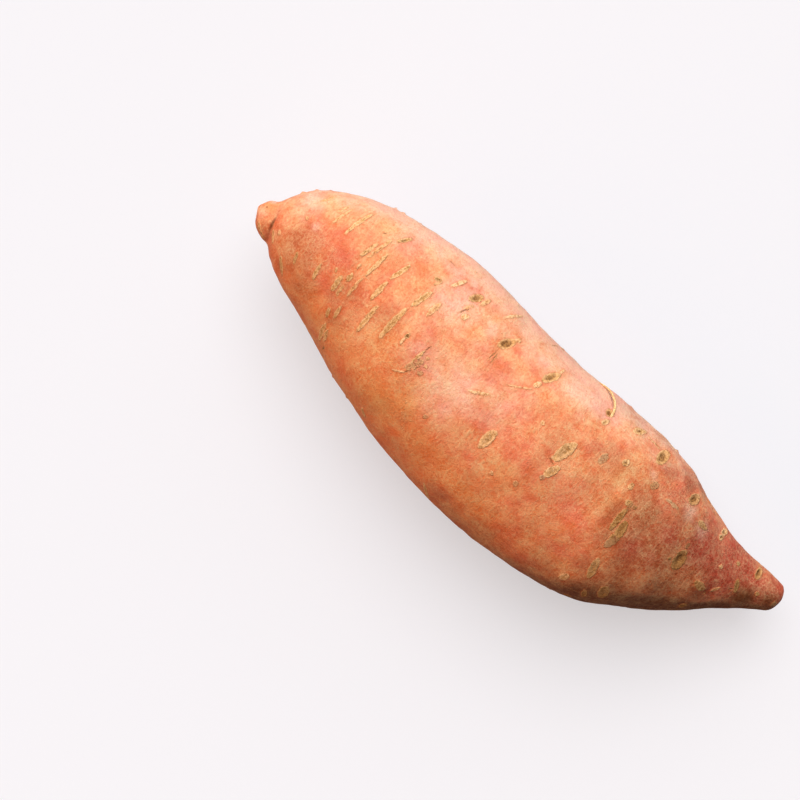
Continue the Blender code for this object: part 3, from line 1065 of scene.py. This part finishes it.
def tinted(recipe, colour, pattern, tints):
    """Lay the soft tints over the skin, their edges broken up by the mottles."""
    broken = recipe.math("MULTIPLY_ADD", pattern["patchy"], BROKEN_BY_PATCHES, BROKEN_START)
    broken = recipe.math("MULTIPLY_ADD", pattern["mottle"], BROKEN_BY_MOTTLES, broken)
    steady = recipe.math("MULTIPLY_ADD", broken, 1.0 - STEADY_SHARE, STEADY_SHARE)
    for name, tint, strength in TINT_COLOURS:
        uneven = recipe.math("MULTIPLY", tints[name], steady if name == "soil_and_shade" else broken)
        share = recipe.math("MULTIPLY", recipe.step(uneven, *TINT_EDGE), strength)
        colour = recipe.mix(share, colour, tint)
    dull = recipe.math("MULTIPLY", tints["dull"], DULL_STREAKS)
    shaded = recipe.math("MAXIMUM", tints["soil_and_shade"], dull)
    streaked = recipe.math("MULTIPLY", recipe.step(pattern["streaks"], *DARK_STREAK_STEP), shaded)
    return recipe.mix(recipe.math("MULTIPLY", streaked, DARK_STREAK_SHARE), colour, DARK_STREAK)


def texture_share(recipe, pattern, strength, rules):
    """A texture's share: its strength times each pattern that it is held to, as it is or stepped."""
    share = strength
    for rule in rules:
        held = pattern[rule] if isinstance(rule, str) else recipe.step(pattern[rule[0]], *rule[1:])
        share = recipe.math("MULTIPLY", held, share)
    return share


def finely_textured(recipe, colour, pattern):
    """Lighten the skin along a fine net and darken it in fine grains."""
    clear_of_soil_and_shade = recipe.step(pattern["soiled_and_shaded"], 0.0, 1.0, 1.0, SOILED_AND_SHADED_LIGHTS)
    for strength, *rules in LIGHT_TEXTURES:
        lighter = recipe.vector("MULTIPLY_ADD", colour, LIGHT_KEPT, LIGHT_ADDED).outputs[0]
        share = recipe.math("MULTIPLY", texture_share(recipe, pattern, strength, rules), clear_of_soil_and_shade)
        colour = recipe.mix(share, colour, lighter)
    for strength, *rules in DARK_TEXTURES:
        darker = recipe.vector("MULTIPLY", colour, DARK_KEPT).outputs[0]
        colour = recipe.mix(texture_share(recipe, pattern, strength, rules), colour, darker)
    return colour


def mark_shape(recipe, place):
    """How far a place lies outside its mark and outside the mark's core, in millimetres."""
    offset = recipe.add("ShaderNodeUVMap", {}, uv_map="mark_place").outputs["UV"]
    size = recipe.add("ShaderNodeAttribute", {}, attribute_name="mark_size").outputs["Vector"]
    parts = recipe.add("ShaderNodeSeparateXYZ", {"Vector": size}).outputs
    ragged = recipe.noise(place, *RAGGED_NOISE).outputs["Color"]
    most, back = (RAGGED_EDGE, RAGGED_EDGE, 0.0), (-RAGGED_EDGE / 2, -RAGGED_EDGE / 2, 0.0)
    shift = recipe.vector("MULTIPLY_ADD", ragged, most, back).outputs[0]
    offset = recipe.vector("ADD", offset, shift).outputs[0]
    halves = recipe.add("ShaderNodeCombineXYZ", {0: parts[0], 1: parts[1], 2: 1.0}).outputs[0]
    once = recipe.vector("DIVIDE", offset, halves).outputs[0]
    twice = recipe.vector("DIVIDE", once, halves).outputs[0]
    near = recipe.vector("LENGTH", once).outputs["Value"]
    slope = recipe.math("MAXIMUM", recipe.vector("LENGTH", twice).outputs["Value"], LEAST_SLOPE)
    distances = []
    for edge in (1.0, parts[2]):
        past = recipe.math("MULTIPLY", near, recipe.math("SUBTRACT", near, edge))
        distances.append(recipe.math("DIVIDE", past, slope))
    return distances


def cork_colour(recipe, pattern, outside, pale, grey):
    """Crumbly cork, paler along its rim, greyer where it is weathered, and dimmer in dim skin, where
    russet, soil and painted shade lie.
    """
    crumb = pattern["crumb"]
    cork = recipe.mix(recipe.step(crumb, *CORK_CRUMB), CORK_DARK, CORK)
    lit = recipe.math("MULTIPLY", pale, recipe.step(pattern["fleck"], *CORK_LIT))
    cork = recipe.mix(lit, cork, CORK_PALE)
    cork = recipe.mix(grey, cork, CORK_GREY)
    paler = recipe.math("MULTIPLY_ADD", pale, RIM_BY_PALENESS, RIM_PALENESS)
    rim = recipe.math("MULTIPLY", recipe.step(outside, *RIM_EDGE), paler)
    cork = recipe.mix(recipe.math("MULTIPLY", rim, recipe.step(crumb, *RIM_CRUMB)), cork, CORK_PALE)
    dimmed = recipe.vector("MULTIPLY", cork, CORK_DIMMED).outputs[0]
    return recipe.mix(recipe.step(pattern["dim"], *CORK_DIM_RANGE), cork, dimmed)


def marked(recipe, colour, pattern):
    """Paint the corky marks and their dark cores, and add their height and cork to the patterns."""
    outside, off_core = mark_shape(recipe, pattern["place"])
    look = recipe.add("ShaderNodeAttribute", {}, attribute_name="mark_look").outputs
    parts = recipe.add("ShaderNodeSeparateColor", {"Color": look["Color"]}).outputs
    dark, patch, pale = parts["Red"], parts["Green"], parts["Blue"]
    crumb = pattern["crumb"]
    ring = recipe.math("MULTIPLY", patch, RING_STRENGTH)
    ring = recipe.math("MULTIPLY", recipe.step(outside, *RING_EDGE), ring)
    colour = recipe.mix(ring, colour, ORANGE)
    whole = recipe.math("MULTIPLY_ADD", patch, WHOLE_BY_PATCH, crumb)
    cover = recipe.math("MULTIPLY", patch, recipe.step(whole, *CORK_GAPS))
    share = recipe.math("MULTIPLY", recipe.step(outside, *CORK_EDGE), cover)
    cork = cork_colour(recipe, pattern, outside, pale, look["Alpha"])
    colour = recipe.mix(share, colour, cork)
    spots = recipe.math("MULTIPLY_ADD", dark, CORE_BY_DARKNESS, crumb)
    core = recipe.math("MULTIPLY", recipe.step(off_core, *CORE_EDGE), recipe.step(spots, *CORE_SPOTS))
    depth = recipe.math("MULTIPLY_ADD", dark, PIT_BY_DARKNESS, PIT_STRENGTH)
    pit = recipe.mix(recipe.step(crumb, *PIT_CRUMB), PIT_DARK, CORK_DARK)
    colour = recipe.mix(recipe.math("MULTIPLY", core, depth), colour, pit)
    rough = recipe.math("MULTIPLY", crumb, recipe.math("MULTIPLY", share, CRUMB_RELIEF))
    raised = recipe.math("ADD", share, rough)
    pattern["mark_height"] = recipe.math("MULTIPLY_ADD", core, -CORE_RELIEF, raised)
    pattern["cork"] = share
    return colour


def added_up(recipe, pattern, start, shares):
    """A starting value and a share of each named pattern, added up."""
    total = start
    for name, share in shares.items():
        total = recipe.math("MULTIPLY_ADD", pattern[name], share, total)
    return total


def skin_material():
    """Dry skin of a scrubbed root: every layer of colour, then its roughness and relief."""
    recipe = material_recipe("root_skin")
    pattern = skin_patterns(recipe)
    tints = kept_tints(recipe)
    # Where the soil and painted shade lie, fewer light flecks and a rougher skin
    pattern["soiled_and_shaded"] = tints["soil_and_shade"]
    # Dim skin: the russet skin and the soil, both partly painted shade
    pattern["dim"] = recipe.math("MAXIMUM", tints["russet_and_shade"], tints["soil_and_shade"])
    colour = broad_colour(recipe, pattern)
    colour = tinted(recipe, colour, pattern, tints)
    colour = finely_textured(recipe, colour, pattern)
    colour = marked(recipe, colour, pattern)
    rough = added_up(recipe, pattern, SKIN_ROUGHNESS, ROUGHNESS_ADDED)
    height = added_up(recipe, pattern, 0.0, SKIN_RELIEF)
    relief = recipe.relief({"Height": height, "Distance": SKIN_BUMP})
    inputs = {"Height": pattern["mark_height"], "Distance": MARK_BUMP, "Normal": relief}
    recipe.finish({
        "Base Color": colour,
        "Roughness": rough,
        "Normal": recipe.relief(inputs),
        "Specular IOR Level": SKIN_GLOSS,
    })
    return recipe.owner


def hair_material():
    """Dry straw-coloured fibre, paler and browner in spots."""
    recipe = material_recipe("hair_root_fibre")
    place = recipe.add("ShaderNodeTexCoord", {}).outputs["Object"]
    streak = recipe.noise(place, *HAIR_NOISE).outputs["Fac"]
    recipe.finish({
        "Base Color": recipe.mix(recipe.step(streak, *HAIR_STREAKS), HAIR_DARK, HAIR_PALE),
        "Roughness": HAIR_ROUGHNESS,
        "Normal": recipe.relief({"Height": streak, "Distance": HAIR_BUMP}),
    })
    return recipe.owner


def make_skin():
    """The whole root's skin, standing for the solid."""
    skin = fine_skin()
    ground = Ground(skin)
    marks = picture_marks(ground)
    marks += hidden_marks(ground, marks)
    heights = skin_heights(ground) + mark_heights(ground, marks) + bump_heights(ground)
    write_marks(skin.data, ground.places, marks)
    write_tints(skin.data, ground)
    push_out(skin, ground, heights)
    skin.data.materials.append(skin_material())
    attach(skin, "root")
    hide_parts("sweet_potato")
    return ground


def hair_curve(ground):
    """The hair root's line over the skin, thinning towards its end."""
    curve = bpy.data.curves.new("hair_root", "CURVE")
    curve.dimensions = "3D"
    curve.bevel_depth = HAIR_THICKNESS[0] / 2 * MM
    curve.bevel_resolution = HAIR_SIDES
    curve.use_fill_caps = True
    curve.resolution_u = HAIR_STEPS
    spline = curve.splines.new("BEZIER")
    last = len(HAIR_ROUTE) - 1
    spline.bezier_points.add(last)
    thin = HAIR_THICKNESS[1] / HAIR_THICKNESS[0]
    for index, (x, y, lift) in enumerate(HAIR_ROUTE):
        place, normal = ground.under_pixel(x, y)
        point = spline.bezier_points[index]
        point.co = place + normal * lift * MM
        point.handle_left_type = "AUTO"
        point.handle_right_type = "AUTO"
        point.radius = 1.0 + (thin - 1.0) * (index / last) ** HAIR_TAPER
    return curve


def make_hair_root(ground):
    """A fine dry root that comes out of an eye and bends over the upper flank."""
    hair = bpy.data.objects.new("hair_root", hair_curve(ground))
    bpy.context.scene.collection.objects.link(hair)
    select_only(hair)
    bpy.ops.object.convert(target="MESH")
    hair = bpy.context.view_layer.objects.active
    hair.data.shade_smooth()
    hair.data.materials.append(hair_material())
    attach(hair, "root")


def make_floor():
    """A wide pale floor."""
    bpy.ops.mesh.primitive_plane_add(size=FLOOR_SIZE, location=(0.0, 0.0, 0.0))
    floor = bpy.context.view_layer.objects.active
    floor.name = "floor"
    recipe = material_recipe("pale_floor")
    seen = recipe.add("ShaderNodeLightPath", {}).outputs["Is Camera Ray"]
    recipe.finish({
        "Base Color": FLOOR_COLOUR,
        "Roughness": FLOOR_ROUGHNESS,
        "Specular IOR Level": FLOOR_GLOSS,
        "Emission Color": FLOOR_GLOW,
        "Emission Strength": recipe.math("MULTIPLY_ADD", seen, FLOOR_LIFT - FLOOR_BOUNCE, FLOOR_BOUNCE),
    })
    floor.data.materials.append(recipe.owner)


def make_lights():
    """A soft key from high over the far side, and a low warm fill from the picture's left."""
    for name, (strength, spread, colour, towards) in SUNS.items():
        light = bpy.data.lights.new(name, "SUN")
        light.energy = strength
        light.angle = math.radians(spread)
        light.color = colour
        sun = bpy.data.objects.new(name, light)
        bpy.context.scene.collection.objects.link(sun)
        right, up, height = towards
        way = RIGHT * right + UP * up + Vector((0.0, 0.0, height))
        sun.rotation_mode = "QUATERNION"
        sun.rotation_quaternion = way.normalized().to_track_quat("Z", "Y")


def make_sky():
    """A pale sky, brighter over the picture's far side, and even where the camera sees it."""
    recipe = Recipe(bpy.data.worlds.new("pale_sky"), "Background")
    bpy.context.scene.world = recipe.owner
    looking = recipe.add("ShaderNodeTexCoord", {}).outputs["Generated"]
    facing = recipe.vector("DOT_PRODUCT", looking, UP).outputs["Value"]
    glow = recipe.step(facing, *SKY_RANGE)
    seen = recipe.add("ShaderNodeLightPath", {}).outputs["Is Camera Ray"]
    recipe.finish({"Color": SKY_COLOUR, "Strength": recipe.math("MAXIMUM", seen, glow)})


def make_camera():
    """The camera, looking straight down with the root's tip to the lower right."""
    camera = bpy.data.cameras.new("camera")
    camera.lens = LENS
    camera.sensor_width = SENSOR
    camera.clip_start, camera.clip_end = CAMERA_CLIP
    camera_object = bpy.data.objects.new("camera", camera)
    bpy.context.scene.collection.objects.link(camera_object)
    camera_object.location = camera_place()
    camera_object.rotation_euler = (0.0, 0.0, CAMERA_TURN)
    bpy.context.scene.camera = camera_object


bpy.context.scene.view_settings.view_transform = "Standard"
bpy.context.scene.view_settings.gamma = PICTURE_GAMMA
make_camera()
root_ground = make_skin()
make_hair_root(root_ground)
make_floor()
make_lights()
make_sky()
